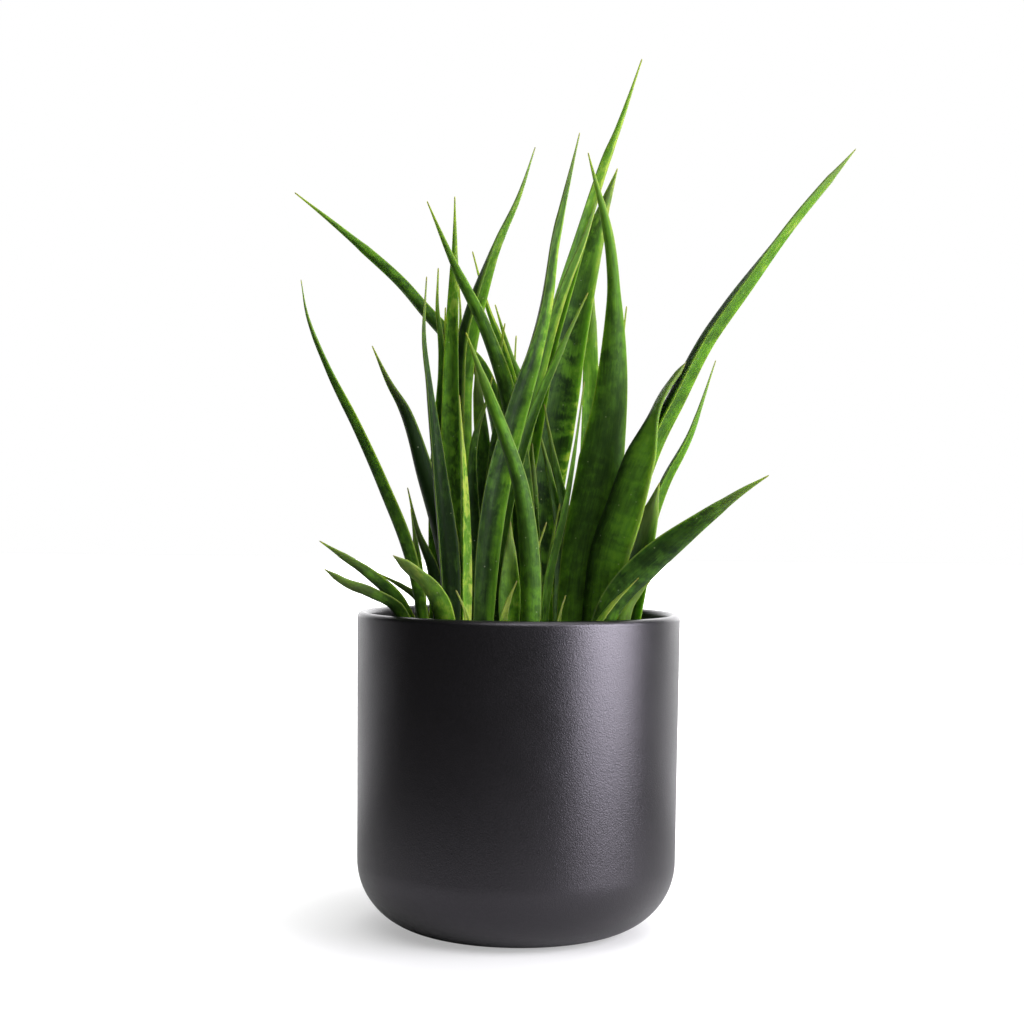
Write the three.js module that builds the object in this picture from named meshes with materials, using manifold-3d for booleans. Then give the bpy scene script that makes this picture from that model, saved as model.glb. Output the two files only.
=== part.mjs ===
// A star sansevieria in a round ceramic pot, in millimetres, +Z up.
// The origin is the centre of the pot's foot, on the surface that it stands on; the front looks to -Y.
import * as THREE from 'three';
import { mergeVertices } from 'three/addons/utils/BufferGeometryUtils.js';
import Module from 'manifold-3d';

const wasm = await Module();
wasm.setup();

// Driving dimensions of the pot
const POT_HEIGHT = 136.5;
const RIM_RADIUS = 70;
const BELLY_RADIUS = 69;      // where the straight side meets the rounding
const ROUNDING_HEIGHT = 30;
const FOOT_RADIUS = 38;
const WALL = 4.4;
const FLOOR = 5;
const POT_SIDES = 48;
const ROUNDING_STEPS = 5;
const LIP_STEPS = 4;

// Driving dimensions of the soil
const SOIL_LEVEL = 122;
const SOIL_GAP = 0.3;         // between the soil and the pot
const SOIL_SIDES = 36;
const SOIL_RINGS = 6;
const MOUND_HEIGHT = 2.5;     // the soil stands a little higher in the middle
const BUMP_HEIGHT = 0.9;

// Driving dimensions that all leaves share
const HOLE_GAP = 0.3;         // clear space round a leaf in its hole
const HOLE_RISE = 6;          // the holes are cut at least this far above the soil's level
const FOOT_WIDTH_SHARE = 0.72;
const SHOULDER_WIDTH_SHARE = 0.34;
const AWL_WIDTH_SHARE = 0.27;
const SHOULDER_FALL = 5;      // how fast the shoulder runs into the awl tip
const AWL_FULLNESS = 0.85;
const CHANNEL_FADE = 0.2;     // share of the length over which the channel closes
const CHANNEL_END = 0.86;     // share of the length where the channel is closed
const TWIST_START = 0.5;      // share of the length where a leaf starts to twist
const TWIST_SPAN = 0.14;
const THIN_EDGE = 0.65;
const TIP_HALF_WIDTH = 0.45;
const STATION_STEP = 22;
const ACROSS = 3;             // facets across each face of a leaf

// One row for each leaf: its greatest width; where along its length it is widest, and where its
// shoulder is, as shares of the length; how full it stays between the two; the depth of its channel
// to half its width; the way its hollow side looks, in degrees turned from the front towards +X; the
// twist from foot to tip; and the points that its middle line runs through, foot first.
const LEAF_ROWS = [
  // Leaves at the front of the clump
  [8.5, 0.2, 0.86, 1.8, 0.62, 160, 0, [[4, -45, 114], [4, -48, 156], [0, -50, 189],
    [-7, -51, 211], [-15, -51, 232], [-23, -52, 253]]],
  [5.5, 0.3, 0.8, 1.4, 0.62, 50, 0, [[-22, -43, 114], [-22.2, -44, 160], [-23.4, -44, 197],
    [-25.7, -43, 228]]],
  [12, 0.5, 0.9, 1.3, 0.45, 130, 0, [[-28, -46, 114], [-31, -50, 136], [-35.4, -52, 147],
    [-42.8, -55, 155.2], [-51.4, -57, 162]]],
  [4.5, 0.35, 0.8, 1.2, 0.62, 30, 0, [[-9, -42, 114], [-6, -45, 139], [-1, -48, 152]]],
  [3.5, 0.3, 0.7, 1.2, 0.62, 0, 0, [[-17, -49, 114], [-22, -50, 139], [-26, -51, 148]]],
  [3, 0.3, 0.7, 1.2, 0.62, 0, 0, [[14, -44, 114], [17, -45, 139], [19, -45, 146]]],
  [10.5, 0.3, 0.68, 1.2, 0.62, 45, 0, [[-27.6, -38, 114], [-30, -39, 160], [-34.2, -39, 197],
    [-38.2, -38, 230], [-40.8, -37, 253], [-40, -36, 277.6]]],
  [11, 0.32, 0.83, 1.2, 0.62, 20, 30, [[-16, -36, 114], [-13.6, -36, 164], [-9.2, -33, 195],
    [-0.8, -29, 227], [4.9, -27.4, 247], [9.6, -26, 267], [13.1, -25, 292], [16.3, -24, 308],
    [23.5, -22, 341]]],
  [4, 0.3, 0.76, 1.2, 0.62, 30, 0, [[9, -31, 114], [12, -32, 152], [18, -32, 179],
    [22.2, -32, 204], [26.3, -31, 235]]],
  [3.5, 0.3, 0.7, 1.2, 0.62, 0, 0, [[4, -34, 114], [7, -36, 162], [11, -37, 176]]],
  [9, 0.5, 0.84, 1.4, 0.62, 0, 0, [[-4, -31, 114], [-4, -32, 147], [-4, -33, 160], [-4, -34, 176]]],
  [6, 0.35, 0.84, 1.2, 0.62, 5, 0, [[-10, -27, 114], [-9, -27, 160], [-5, -25, 187],
    [5, -22, 221], [16, -19, 248], [28, -16, 274]]],
  [10.5, 0.3, 0.83, 1.3, 0.5, 150, 0, [[2, -21, 114], [0.6, -18.6, 185], [-4.8, -19.5, 225],
    [-16, -24, 258], [-28.5, -28, 283], [-40.4, -32, 309.6]]],
  // Leaves that lean out low over the rim, left and right
  [8.2, 0.45, 0.84, 1.2, 0.62, 130, 0, [[-37, -24, 114], [-52, -31, 143], [-61, -35, 152],
    [-72, -38, 160.1], [-83, -40, 167.2]]],
  [7.2, 0.45, 0.92, 1.2, 0.62, 130, 0, [[-41, -29, 114], [-51, -37, 139.6], [-61, -44, 145.8],
    [-71, -47, 150.2], [-80, -50, 156]]],
  [5, 0.4, 0.8, 1.2, 0.62, 130, 0, [[-38, -15, 114], [-42, -19, 141], [-50, -21, 148], [-61, -23, 154]]],
  [12.6, 0.42, 0.8, 1.4, 0.5, 205, 0, [[29, -45, 114], [38, -49, 142.2], [52, -51, 158.8],
    [71, -55, 175.2], [88, -58, 188.4], [100, -60, 196]]],
  [8, 0.55, 0.85, 1.2, 0.62, 205, 0, [[39, -36, 114], [45, -39, 142], [54, -42, 152.4]]],
  [4.5, 0.4, 0.8, 1.2, 0.62, 90, 0, [[22, -50, 114], [34, -54, 138], [48, -58, 154]]],
  // Leaves on the left side
  [8.8, 0.3, 0.84, 1.3, 0.62, 110, 0, [[-36, -36, 114], [-45.6, -36, 161], [-56.7, -35, 189],
    [-68.7, -33, 215], [-80.6, -31, 238], [-90.1, -29, 261], [-93.2, -28, 276.8]]],
  [11.6, 0.35, 0.8, 1.4, 0.62, 150, 0, [[-23, -29, 114], [-31.4, -29, 166], [-41, -28, 197],
    [-49, -26, 222], [-56, -25, 234.2], [-63.3, -24, 249.6]]],
  [7.5, 0.35, 0.72, 1.2, 0.62, 150, 0, [[-31, -21, 114], [-37, -20, 155], [-43, -19, 170],
    [-48, -18, 190]]],
  [7, 0.4, 0.8, 1.3, 0.62, 60, 0, [[-42, -3, 114], [-44, 1, 152], [-45.8, 5, 168], [-48, 9, 181]]],
  [8.5, 0.45, 0.85, 1.5, 0.62, -20, 0, [[-26, -13, 114], [-28.6, -14, 185], [-29.8, -14, 228],
    [-29.7, -14, 262], [-29.2, -14, 290], [-29.4, -13, 315]]],
  [9, 0.45, 0.76, 1.2, 0.62, 0, 0, [[-35.4, 3, 114], [-35.2, 3, 190], [-34.4, 3, 228],
    [-34.3, 2.5, 241], [-35.4, 1.5, 256], [-36.9, 0.5, 268], [-36.7, 0, 286]]],
  [6, 0.35, 0.65, 1.2, 0.62, 0, 0, [[-27, 10, 114], [-28.5, 10.5, 198], [-31.6, 8.5, 238],
    [-33.5, 6.2, 252], [-33.6, 5.5, 269.5]]],
  [6, 0.45, 0.8, 1.2, 0.62, 0, 0, [[-34, 16, 114], [-33, 17, 194], [-29.2, 18, 243],
    [-27.3, 18, 263], [-28.2, 18, 281.5]]],
  // Leaves in the middle
  [12.6, 0.42, 0.82, 1.3, 1.2, 76, -14, [[-21, -3, 114], [-27, -4, 207], [-24.6, -4, 252],
    [-13.6, -3, 290], [-2.3, -2, 316], [5, -1, 339]]],
  [8.5, 0.45, 0.92, 1.8, 0.62, 0, 0, [[-17, 8.5, 114], [-16, 8.5, 190], [-16.6, 8.5, 208],
    [-18, 8.2, 222], [-19.4, 8, 236], [-20.2, 8, 244]]],
  [6, 0.4, 0.8, 1.2, 0.62, 0, 0, [[-19, -14, 114], [-19.6, -14, 170], [-20.4, -13.5, 205],
    [-18.1, -12, 217.5], [-14.7, -10.5, 228], [-12.4, -9.5, 238.6]]],
  [8, 0.35, 0.8, 1.2, 0.62, 0, 0, [[-12, 3, 114], [-12, 3, 185], [-11, 3, 207],
    [-8.8, 4, 225], [-9.2, 5, 250], [-7.4, 5, 262.8]]],
  [7, 0.35, 0.8, 1.3, 0.62, 0, 0, [[5, 8, 114], [2, 9, 207], [-6.5, 9, 247],
    [-15.1, 9, 270], [-22.1, 8, 294.5]]],
  [9.8, 0.36, 0.84, 1.1, 0.62, 150, 0, [[-4, 14, 114], [-7, 13, 203], [-18, 12, 242],
    [-30, 11.5, 254.8], [-42, 10.5, 267.4], [-53, 9.5, 280], [-62.5, 8, 288.8], [-84, 5, 306.4],
    [-100, 3, 318.6]]],
  [9, 0.42, 0.8, 1.2, 0.62, 0, 0, [[6, 20, 114], [3.2, 20, 226], [-5.3, 19, 251], [-12, 18, 272.4]]],
  [6, 0.35, 0.72, 1.2, 0.62, 0, 0, [[-2, 26, 114], [-4, 26, 203], [-3.4, 26, 235], [-2.4, 26, 259.4]]],
  [7, 0.35, 0.8, 1.2, 0.62, 0, 0, [[7, -13, 114], [6, -11, 172], [6, -7.5, 192], [5, -5, 210]]],
  [4, 0.3, 0.7, 1.2, 0.62, 0, 0, [[13, -12, 114], [13, -13, 160], [17, -14, 184]]],
  [9.8, 0.4, 0.84, 1.2, 0.7, 46, 0, [[-5, -9, 114], [-4.6, -9, 185], [7.4, -10, 242],
    [13, -9.6, 262], [19.2, -8.4, 280], [26.4, -6, 298], [33.6, -4, 321]]],
  [8.8, 0.4, 0.84, 1.2, 0.75, 10, 0, [[0, -2, 114], [0.5, 0, 185], [3.6, 1, 207],
    [10.2, 2.3, 247], [16.4, 3.4, 270], [24.6, 5, 298], [35.4, 6, 333], [41.7, 7, 350],
    [51.6, 8, 380]]],
  [6, 0.35, 0.8, 1.2, 0.62, 0, 0, [[22, -4, 114], [20, -4, 177], [14, -4, 206], [10, -4, 227]]],
  [6, 0.35, 0.8, 1.2, 0.62, 0, 0, [[17, 4, 114], [18, 5, 168], [13, 7, 196], [7, 8, 220]]],
  [15.5, 0.45, 0.9, 1.7, 0.45, 0, 0, [[10, 12, 114], [11.8, 14, 190], [15.6, 15.4, 216],
    [18.8, 16.2, 235], [21.4, 17, 252], [26, 18, 275], [34.6, 19, 311], [42, 20, 334]]],
  [9.5, 0.55, 0.9, 1.4, 0.45, 0, 0, [[28, 24, 114], [32, 28, 213], [31.4, 29, 249], [32, 29, 284]]],
  // Leaves on the right side
  [19.3, 0.4, 0.69, 1, 0.35, 180, 0, [[22.4, -24, 114], [26, -24, 160], [33.8, -24, 200],
    [38.7, -22, 241], [37.3, -19, 292], [27.4, -15, 334]]],
  [27, 0.38, 0.9, 1.8, 0.9, 97, 0, [[30, -31, 114], [36.4, -36, 163], [42.4, -38, 182],
    [50, -38, 206.6], [57.9, -38, 228], [68.3, -37.5, 243.2]]],
  [10.4, 0.35, 0.93, 1.4, 0.9, 62, 0, [[33.8, -32, 114], [39.4, -35.4, 163], [48, -35, 190.5],
    [55.8, -34.5, 211.8], [64.3, -34, 228.9], [75.4, -33, 250.5], [82.5, -32, 261.5], [114.8, -27, 304.5],
    [140.6, -22, 335.5]]],
  [6, 0.35, 0.8, 1.2, 0.62, 0, 0, [[33, -14, 114], [39, -15, 173], [50, -14, 214]]],
  [7.5, 0.35, 0.8, 1.2, 0.8, 50, 0, [[42, -17, 114], [51.5, -17, 164], [60.9, -16, 192],
    [72.3, -15, 214], [83.2, -13, 246]]],
  [12, 0.58, 0.88, 1.5, 0.62, -10, 0, [[43.4, -27, 114], [49.5, -29, 160], [54.3, -30, 179],
    [58.2, -31, 193]]],
  [8, 0.35, 0.75, 1.2, 0.62, 0, 0, [[34, 20, 114], [39, 22, 181], [44, 24, 244], [47, 24, 273]]],
  [8, 0.4, 0.82, 1.3, 0.62, -40, 0, [[44, 4, 114], [48, 8, 150], [53, 14, 180], [57, 22, 200]]],
  [9, 0.4, 0.8, 1.3, 0.62, 20, 0, [[32, 32, 114], [35, 38, 160], [40, 50, 205], [46, 66, 245]]],
  // Leaves at the back, which lean away
  [9, 0.4, 0.82, 1.3, 0.62, 0, 0, [[-20, 26, 114], [-23, 31, 155], [-30, 40, 185], [-40, 52, 205]]],
  [9, 0.4, 0.8, 1.3, 0.62, -10, 0, [[-7, 37, 114], [-8, 44, 160], [-12, 56, 195], [-18, 72, 222]]],
  [10, 0.4, 0.82, 1.3, 0.62, 10, 0, [[5, 38, 114], [7, 46, 165], [10, 60, 210], [12, 80, 245]]],
  [11, 0.45, 0.84, 1.3, 0.62, 10, 0, [[19, 36, 114], [21, 42, 150], [25, 54, 175], [30, 70, 190]]],
  [9, 0.45, 0.84, 1.3, 0.62, 30, 0, [[-22, 43, 114], [-27, 52, 140], [-34, 62, 151], [-43, 74, 157]]],
  [9, 0.45, 0.84, 1.3, 0.62, -40, 0, [[29, 46, 114], [35, 55, 140], [42, 65, 151], [50, 76, 157]]],
];

const CERAMIC = { color: 0x2b2a2d, roughness: 0.5, metalness: 0 };
const SOIL = { color: 0x2e2118, roughness: 0.95, metalness: 0 };
const LEAF = { color: 0x2f5c1c, roughness: 0.45, metalness: 0 };

const plant = new THREE.Group();

function addMesh(name, geometry, finish) {
  const mesh = new THREE.Mesh(geometry, new THREE.MeshStandardMaterial(finish));
  mesh.name = name;
  plant.add(mesh);
}

function smooth(t) {
  const x = Math.min(Math.max(t, 0), 1);
  return x * x * (3 - 2 * x);
}

// Closed geometry from points and triangles
function geometryFrom(points, triangles) {
  const geometry = new THREE.BufferGeometry();
  geometry.setAttribute('position', new THREE.Float32BufferAttribute(points.flat(), 3));
  geometry.setIndex(triangles.flat());
  return geometry;
}

function solidFrom(geometry) {
  const bare = geometry.clone();
  bare.deleteAttribute('normal');
  bare.deleteAttribute('uv');
  const merged = mergeVertices(bare);
  return new wasm.Manifold(new wasm.Mesh({
    numProp: 3,
    vertProperties: new Float32Array(merged.attributes.position.array),
    triVerts: new Uint32Array(merged.index.array),
  }));
}

function geometryOf(solid) {
  const mesh = solid.getMesh();
  const geometry = new THREE.BufferGeometry();
  geometry.setAttribute('position', new THREE.BufferAttribute(mesh.vertProperties, 3));
  geometry.setIndex(new THREE.BufferAttribute(mesh.triVerts, 1));
  return geometry;
}

// A turned body: the outline runs from the axis, round the outside, back to the axis
function turned(outline, sides) {
  const geometry = new THREE.LatheGeometry(outline, sides);
  geometry.rotateX(Math.PI / 2);
  return geometry;
}

// Quarter of an ellipse, from the flat foot up to the straight side
function rounding(radius, bottom, steps) {
  const points = [];
  for (let i = 0; i <= steps; i += 1) {
    const turn = (Math.PI / 2) * (i / steps);
    const r = FOOT_RADIUS + (radius - FOOT_RADIUS) * Math.sin(turn);
    const z = ROUNDING_HEIGHT - (ROUNDING_HEIGHT - bottom) * Math.cos(turn);
    points.push(new THREE.Vector2(r, z));
  }
  return points;
}

function potGeometry() {
  const lipRadius = WALL / 2;
  const lipCentre = new THREE.Vector2(RIM_RADIUS - lipRadius, POT_HEIGHT - lipRadius);
  const outline = [new THREE.Vector2(0, 0), ...rounding(BELLY_RADIUS, 0, ROUNDING_STEPS)];
  for (let i = 0; i <= LIP_STEPS; i += 1) {
    const turn = Math.PI * (i / LIP_STEPS);
    const r = lipCentre.x + lipRadius * Math.cos(turn);
    const z = lipCentre.y + lipRadius * Math.sin(turn);
    outline.push(new THREE.Vector2(r, z));
  }
  const inside = rounding(BELLY_RADIUS - WALL, FLOOR, ROUNDING_STEPS - 1);
  outline.push(...inside.reverse(), new THREE.Vector2(0, FLOOR));
  return turned(outline, POT_SIDES);
}

// Height of the soil's bumpy top
function soilTop(x, y) {
  const share = Math.hypot(x, y) / RIM_RADIUS;
  const mound = MOUND_HEIGHT * (1 - share * share);
  const bumps = Math.sin(x * 0.31 + y * 0.12) + Math.sin(y * 0.37 - x * 0.09 + 1.3);
  return SOIL_LEVEL + mound + (BUMP_HEIGHT / 2) * bumps;
}

function soilGeometry() {
  const side = BELLY_RADIUS - WALL - SOIL_GAP;
  const outline = [
    new THREE.Vector2(0, FLOOR + SOIL_GAP),
    ...rounding(side, FLOOR + SOIL_GAP, ROUNDING_STEPS - 1),
  ];
  for (let i = 0; i < SOIL_RINGS; i += 1) {
    outline.push(new THREE.Vector2(side * (1 - i / SOIL_RINGS), SOIL_LEVEL));
  }
  outline.push(new THREE.Vector2(0, SOIL_LEVEL));
  const geometry = turned(outline, SOIL_SIDES);
  const places = geometry.attributes.position;
  for (let i = 0; i < places.count; i += 1) {
    if (places.getZ(i) > SOIL_LEVEL - 1) {
      places.setZ(i, soilTop(places.getX(i), places.getY(i)));
    }
  }
  return geometry;
}

// Width of a leaf at a share of its length, as a share of its greatest width
function widthShare(along, widest, shoulder, taper) {
  if (along < widest) {
    return FOOT_WIDTH_SHARE + (1 - FOOT_WIDTH_SHARE) * smooth(along / widest);
  }
  if (along < shoulder) {
    const t = (along - widest) / (shoulder - widest);
    return 1 - (1 - SHOULDER_WIDTH_SHARE) * t ** taper;
  }
  const t = (along - shoulder) / (1 - shoulder);
  const step = (SHOULDER_WIDTH_SHARE - AWL_WIDTH_SHARE) * Math.max(0, 1 - t * SHOULDER_FALL) ** 2;
  return AWL_WIDTH_SHARE * (1 - t) ** AWL_FULLNESS + step;
}

// Points round the channelled section: [sideways, towards the hollow side]
function leafSection(half, depth, thick, edge) {
  const hollow = [];
  const back = [];
  for (let i = 0; i <= ACROSS; i += 1) {
    const a = -1 + (2 * i) / ACROSS;
    const middle = depth * (a * a - 0.5);
    const slope = (2 * depth * a) / half;
    const thickness = (thick * (1 - a * a) + edge * a * a) * Math.hypot(1, slope);
    hollow.push([half * a, middle + thickness / 2]);
    back.push([half * a, middle - thickness / 2]);
  }
  return [...hollow, ...back.reverse()];
}

// Ring of points round a leaf at a share of its length, grown outwards for its hole
function leafRing(leaf, along, grow) {
  const half = Math.max(
    (leaf.width / 2) * widthShare(along, leaf.widest, leaf.shoulder, leaf.taper),
    TIP_HALF_WIDTH,
  );
  const channel = 1 - smooth((along - CHANNEL_END + CHANNEL_FADE) / CHANNEL_FADE);
  const full = Math.min(0.9 + 0.12 * leaf.width, 2.6);
  const thick = Math.max(Math.min(full, half * 1.7), THIN_EDGE);
  const edge = Math.max(THIN_EDGE, thick * (0.55 - 0.25 * channel));
  const place = leaf.curve.getPointAt(along);
  const ahead = leaf.curve.getTangentAt(along);
  const twisted = smooth((along - TWIST_START) / TWIST_SPAN);
  const turn = THREE.MathUtils.degToRad(leaf.face + leaf.twist * twisted);
  const look = new THREE.Vector3(Math.sin(turn), -Math.cos(turn), 0);
  const hollowWay = look.addScaledVector(ahead, -look.dot(ahead)).normalize();
  const sideWay = new THREE.Vector3().crossVectors(ahead, hollowWay);
  const section = leafSection(half + grow, half * leaf.depth * channel, thick + 2 * grow, edge + 2 * grow);
  return section.map(([u, v]) => place.clone().addScaledVector(sideWay, u).addScaledVector(hollowWay, v));
}

// Closed loft through rings of points, each ring a hollow row and a back row
function loft(rings) {
  const count = rings[0].length;
  const last = (rings.length - 1) * count;
  const points = rings.flat().map((p) => [p.x, p.y, p.z]);
  const triangles = [];
  for (let k = 0; k < rings.length - 1; k += 1) {
    for (let j = 0; j < count; j += 1) {
      const a = k * count + j;
      const b = k * count + ((j + 1) % count);
      triangles.push([a, b, b + count], [a, b + count, a + count]);
    }
  }
  for (let j = 0; j < count / 2 - 1; j += 1) {
    const c = count - 1 - j;
    triangles.push([j, c - 1, j + 1], [j, c, c - 1]);
    triangles.push([last + j, last + j + 1, last + c - 1], [last + j, last + c - 1, last + c]);
  }
  return geometryFrom(points, triangles);
}

// Shares of the length at which a leaf has a ring: even below the shoulder and above it, and
// closer together where the leaf twists
function stations(leaf) {
  const length = leaf.curve.getLength();
  const step = STATION_STEP / (1 + Math.abs(leaf.twist) / 45);
  const body = Math.max(3, Math.ceil((length * leaf.shoulder) / step));
  const awl = Math.max(2, Math.ceil((length * (1 - leaf.shoulder)) / step));
  const shares = [];
  for (let i = 0; i < body; i += 1) {
    shares.push((leaf.shoulder * i) / body);
  }
  for (let i = 0; i <= awl; i += 1) {
    shares.push(leaf.shoulder + ((1 - leaf.shoulder) * i) / awl);
  }
  return shares;
}

function leafFrom([width, widest, shoulder, taper, depth, face, twist, path]) {
  const points = path.map(([x, y, z]) => new THREE.Vector3(x, y, z));
  const curve = new THREE.CatmullRomCurve3(points, false, 'centripetal');
  return { width, widest, shoulder, taper, depth, face, twist, curve };
}

// Plain hole for a leaf's foot: its own section, a little larger, from below the foot to above the soil
function holeSolid(leaf) {
  const shares = stations(leaf);
  const above = shares.findIndex((along) => leaf.curve.getPointAt(along).z > SOIL_LEVEL + HOLE_RISE);
  shares.length = above + 1;
  const rings = shares.map((along) => leafRing(leaf, along, HOLE_GAP));
  const below = leaf.curve.getTangentAt(0).multiplyScalar(-HOLE_GAP);
  rings[0].forEach((point) => point.add(below));
  return solidFrom(loft(rings));
}

const leaves = LEAF_ROWS.map(leafFrom);

addMesh('pot', potGeometry(), CERAMIC);

let soil = solidFrom(soilGeometry());
leaves.forEach((leaf) => {
  soil = soil.subtract(holeSolid(leaf));
});
addMesh('soil', geometryOf(soil), SOIL);

leaves.forEach((leaf, i) => {
  const rings = stations(leaf).map((along) => leafRing(leaf, along, 0));
  addMesh(`leaf_${String(i + 1).padStart(2, '0')}`, loft(rings), LEAF);
});

export default plant;
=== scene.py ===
"""A star sansevieria in a charcoal ceramic pot: its finish, a plain studio and the camera.

Metres, +Z up. A heading says where the values below it are in millimetres.
"""
import math

import bpy
import numpy as np
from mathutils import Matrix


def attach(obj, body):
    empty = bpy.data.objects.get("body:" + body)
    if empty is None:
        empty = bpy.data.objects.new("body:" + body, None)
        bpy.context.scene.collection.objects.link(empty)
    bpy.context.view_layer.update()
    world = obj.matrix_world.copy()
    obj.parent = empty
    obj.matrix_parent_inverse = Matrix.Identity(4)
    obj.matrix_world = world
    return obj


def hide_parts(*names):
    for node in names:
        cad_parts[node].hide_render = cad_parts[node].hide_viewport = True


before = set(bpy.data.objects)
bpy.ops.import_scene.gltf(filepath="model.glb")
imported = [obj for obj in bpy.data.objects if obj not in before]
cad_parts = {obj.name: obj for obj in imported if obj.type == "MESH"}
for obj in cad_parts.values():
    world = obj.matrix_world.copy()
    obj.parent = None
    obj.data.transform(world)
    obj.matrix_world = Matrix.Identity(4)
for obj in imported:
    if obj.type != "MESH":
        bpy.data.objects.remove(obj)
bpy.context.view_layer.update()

MM = 0.001

# Pot, in millimetres, as in the part
POT_HEIGHT = 136.5
RIM_RADIUS = 70.0
BELLY_RADIUS = 69.0
ROUNDING_HEIGHT = 30.0
FOOT_RADIUS = 38.0
WALL = 4.4
FLOOR = 5.0

# How finely the visible pot is made
POT_SIDES = 192
ROUNDING_STEPS = 24
LIP_STEPS = 12

# Soil, in millimetres, as in the part
SOIL_LEVEL = 122.0
SOIL_GAP = 0.3
MOUND_HEIGHT = 2.5
BUMP_HEIGHT = 0.9

# How finely the visible soil is made, and its small lumps, in millimetres
SOIL_SEED = 7
SOIL_RINGS = 90
SOIL_SIDES = 180
SOIL_FOOT_STEPS = 8
LUMP_WAVES = 9
LUMP_RATES = (0.35, 1.1)
LUMP_HEIGHT = 0.16

# Crumbs on the soil, in millimetres, with widths and thicknesses as shares of the length
CRUMBS = 5200
CRUMB_MARGIN = 1.2
LEAST_CRUMB = 0.5
CRUMB_SPREAD = 1.6
CRUMB_WIDTHS = (0.4, 0.9)
CRUMB_THICKNESSES = (0.3, 0.7)
CRUMB_RISE = 0.3
CRUMB_GIRTH = ((1, 0, 0), (0.2, 0.9, 0.1), (-1, 0.1, 0), (-0.1, -0.8, 0))
CRUMB_POLES = ((0.1, 0, 0.7), (0, 0.1, -0.7))

# What all leaves share, as in the part
FOOT_WIDTH_SHARE = 0.72
SHOULDER_WIDTH_SHARE = 0.34
AWL_WIDTH_SHARE = 0.27
SHOULDER_FALL = 5
AWL_FULLNESS = 0.85
CHANNEL_FADE = 0.2
CHANNEL_END = 0.86
TWIST_START = 0.5
TWIST_SPAN = 0.14

# Thickness of a leaf, in millimetres and as shares of its width, half its width and its thickness
LEAST_THICKNESS = 0.9
THICKNESS_TO_WIDTH = 0.12
MOST_THICKNESS = 2.6
THICKNESS_TO_HALF = 1.7
AWL_EDGE_SHARE = 0.55
EDGE_THINNING = 0.35

# How finely the visible leaves are made, in millimetres
STATION_STEP = 3.0
ACROSS = 10
MARGIN_POINTS = 3
TIP_ROUNDING = 1.5
TIP_STATIONS = (0.5, 0.25, 0.1, 0.03)
FINE_TIP = 0.18
FINE_EDGE = 0.4

# Slight waves in a leaf's width: how many, radians in a millimetre, and share of the width
LEAF_SEED = 100
WIDTH_WAVES = 3
WIDTH_WAVE_RATES = (0.02, 0.12)
WIDTH_WAVE_SHARE = 0.012

# Where a wave may start, in radians
WAVE_STARTS = (0, 6.28)

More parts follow.
